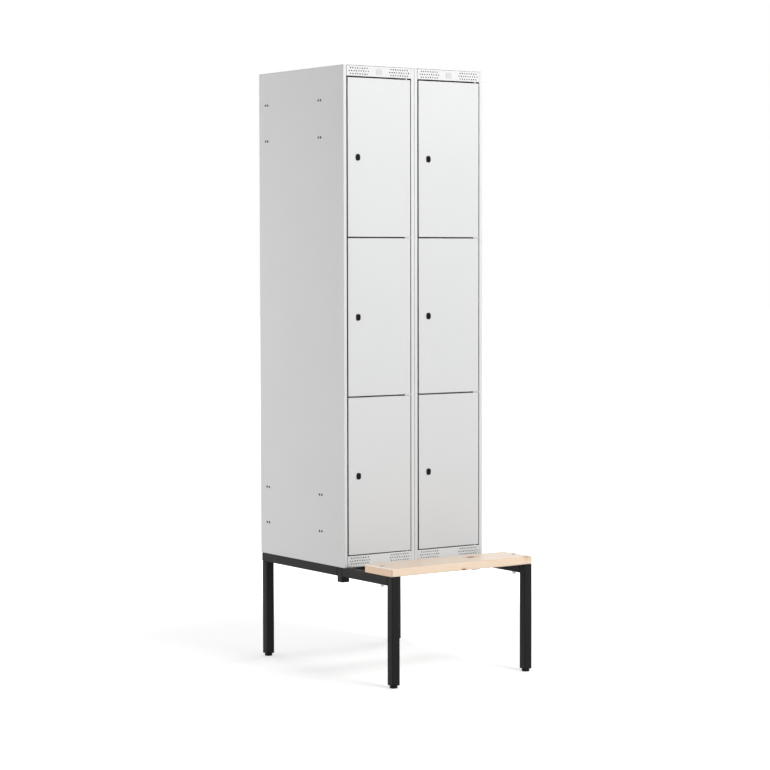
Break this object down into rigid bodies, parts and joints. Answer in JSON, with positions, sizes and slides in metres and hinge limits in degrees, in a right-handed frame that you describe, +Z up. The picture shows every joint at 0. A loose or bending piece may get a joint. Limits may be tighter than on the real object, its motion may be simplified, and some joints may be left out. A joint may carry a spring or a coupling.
{
  "type": "locker with bench",
  "caption": "Light grey steel lockers with stacked doors and cam locks on a black square-tube stand with a pine seat board in front.",
  "frame": {"origin": "on the floor, under the middle of the overall box", "axes": "+X to the right seen from the front, +Y from the bench to the back of the lockers, +Z up"},
  "size_m": [0.6, 0.84, 2.12],
  "materials": {
    "grey_sheet": "satin powder coat",
    "black_tube": "satin powder coat",
    "pine": "clear matt lacquer",
    "zinc": "zinc plated",
    "lock_plastic": "satin",
    "foot_plastic": "matt"
  },
  "bodies": {
    "cabinet_and_stand": {"left_locker_left_side": "grey_sheet", "left_locker_right_side": "grey_sheet", "left_locker_back": "grey_sheet", "left_locker_roof": "grey_sheet", "left_locker_floor": "grey_sheet", "left_locker_header": "grey_sheet", "left_locker_plinth": "grey_sheet", "left_locker_lower_shelf": "grey_sheet", "left_locker_upper_shelf": "grey_sheet", "right_locker_left_side": "grey_sheet", "right_locker_right_side": "grey_sheet", "right_locker_back": "grey_sheet", "right_locker_roof": "grey_sheet", "right_locker_floor": "grey_sheet", "right_locker_header": "grey_sheet", "right_locker_plinth": "grey_sheet", "right_locker_lower_shelf": "grey_sheet", "right_locker_upper_shelf": "grey_sheet", "left_side_rail": "black_tube", "right_side_rail": "black_tube", "left_extension_rail": "black_tube", "right_extension_rail": "black_tube", "left_rear_leg": "black_tube", "right_rear_leg": "black_tube", "left_front_leg": "black_tube", "right_front_leg": "black_tube", "left_corner_post": "black_tube", "right_corner_post": "black_tube", "front_crossbar": "black_tube", "rear_crossbar": "black_tube", "bench_board": "pine", "left_bench_bolt": "zinc", "right_bench_bolt": "zinc", "left_bench_nut": "zinc", "right_bench_nut": "zinc"},
    "left_bottom_door_leaf": {"left_bottom_door": "grey_sheet", "left_bottom_lock_housing": "lock_plastic"},
    "left_middle_door_leaf": {"left_middle_door": "grey_sheet", "left_middle_lock_housing": "lock_plastic"},
    "left_top_door_leaf": {"left_top_door": "grey_sheet", "left_top_lock_housing": "lock_plastic"},
    "right_bottom_door_leaf": {"right_bottom_door": "grey_sheet", "right_bottom_lock_housing": "lock_plastic"},
    "right_middle_door_leaf": {"right_middle_door": "grey_sheet", "right_middle_lock_housing": "lock_plastic"},
    "right_top_door_leaf": {"right_top_door": "grey_sheet", "right_top_lock_housing": "lock_plastic"},
    "left_bottom_cam": {"left_bottom_lock_cam": "lock_plastic"},
    "left_middle_cam": {"left_middle_lock_cam": "lock_plastic"},
    "left_top_cam": {"left_top_lock_cam": "lock_plastic"},
    "right_bottom_cam": {"right_bottom_lock_cam": "lock_plastic"},
    "right_middle_cam": {"right_middle_lock_cam": "lock_plastic"},
    "right_top_cam": {"right_top_lock_cam": "lock_plastic"},
    "left_rear_levelling_foot": {"left_rear_foot": "foot_plastic"},
    "right_rear_levelling_foot": {"right_rear_foot": "foot_plastic"},
    "left_front_levelling_foot": {"left_front_foot": "foot_plastic"},
    "right_front_levelling_foot": {"right_front_foot": "foot_plastic"}
  },
  "joints": [
    {"name": "left_bottom_door_hinge", "type": "hinge", "parent": "cabinet_and_stand", "child": "left_bottom_door_leaf", "pos_m": [-0.03215, -0.124, 0.69725], "axis": [0, 0, 1], "range_deg": [0, 110]},
    {"name": "left_middle_door_hinge", "type": "hinge", "parent": "cabinet_and_stand", "child": "left_middle_door_leaf", "pos_m": [-0.03215, -0.124, 1.25025], "axis": [0, 0, 1], "range_deg": [0, 110]},
    {"name": "left_top_door_hinge", "type": "hinge", "parent": "cabinet_and_stand", "child": "left_top_door_leaf", "pos_m": [-0.03215, -0.124, 1.80325], "axis": [0, 0, 1], "range_deg": [0, 110]},
    {"name": "right_bottom_door_hinge", "type": "hinge", "parent": "cabinet_and_stand", "child": "right_bottom_door_leaf", "pos_m": [0.268, -0.124, 0.69725], "axis": [0, 0, 1], "range_deg": [0, 110]},
    {"name": "right_middle_door_hinge", "type": "hinge", "parent": "cabinet_and_stand", "child": "right_middle_door_leaf", "pos_m": [0.268, -0.124, 1.25025], "axis": [0, 0, 1], "range_deg": [0, 110]},
    {"name": "right_top_door_hinge", "type": "hinge", "parent": "cabinet_and_stand", "child": "right_top_door_leaf", "pos_m": [0.268, -0.124, 1.80325], "axis": [0, 0, 1], "range_deg": [0, 110]},
    {"name": "left_bottom_lock_turn", "type": "hinge", "parent": "left_bottom_door_leaf", "child": "left_bottom_cam", "pos_m": [-0.24, -0.13, 0.69725], "axis": [0, -1, 0], "range_deg": [0, 90]},
    {"name": "left_middle_lock_turn", "type": "hinge", "parent": "left_middle_door_leaf", "child": "left_middle_cam", "pos_m": [-0.24, -0.13, 1.25025], "axis": [0, -1, 0], "range_deg": [0, 90]},
    {"name": "left_top_lock_turn", "type": "hinge", "parent": "left_top_door_leaf", "child": "left_top_cam", "pos_m": [-0.24, -0.13, 1.80325], "axis": [0, -1, 0], "range_deg": [0, 90]},
    {"name": "right_bottom_lock_turn", "type": "hinge", "parent": "right_bottom_door_leaf", "child": "right_bottom_cam", "pos_m": [0.06015, -0.13, 0.69725], "axis": [0, -1, 0], "range_deg": [0, 90]},
    {"name": "right_middle_lock_turn", "type": "hinge", "parent": "right_middle_door_leaf", "child": "right_middle_cam", "pos_m": [0.06015, -0.13, 1.25025], "axis": [0, -1, 0], "range_deg": [0, 90]},
    {"name": "right_top_lock_turn", "type": "hinge", "parent": "right_top_door_leaf", "child": "right_top_cam", "pos_m": [0.06015, -0.13, 1.80325], "axis": [0, -1, 0], "range_deg": [0, 90]},
    {"name": "left_rear_foot_travel", "type": "slide", "parent": "cabinet_and_stand", "child": "left_rear_levelling_foot", "axis": [0, 0, -1], "range_m": [0, 0.01]},
    {"name": "right_rear_foot_travel", "type": "slide", "parent": "cabinet_and_stand", "child": "right_rear_levelling_foot", "axis": [0, 0, -1], "range_m": [0, 0.01]},
    {"name": "left_front_foot_travel", "type": "slide", "parent": "cabinet_and_stand", "child": "left_front_levelling_foot", "axis": [0, 0, -1], "range_m": [0, 0.01]},
    {"name": "right_front_foot_travel", "type": "slide", "parent": "cabinet_and_stand", "child": "right_front_levelling_foot", "axis": [0, 0, -1], "range_m": [0, 0.01]}
  ]
}
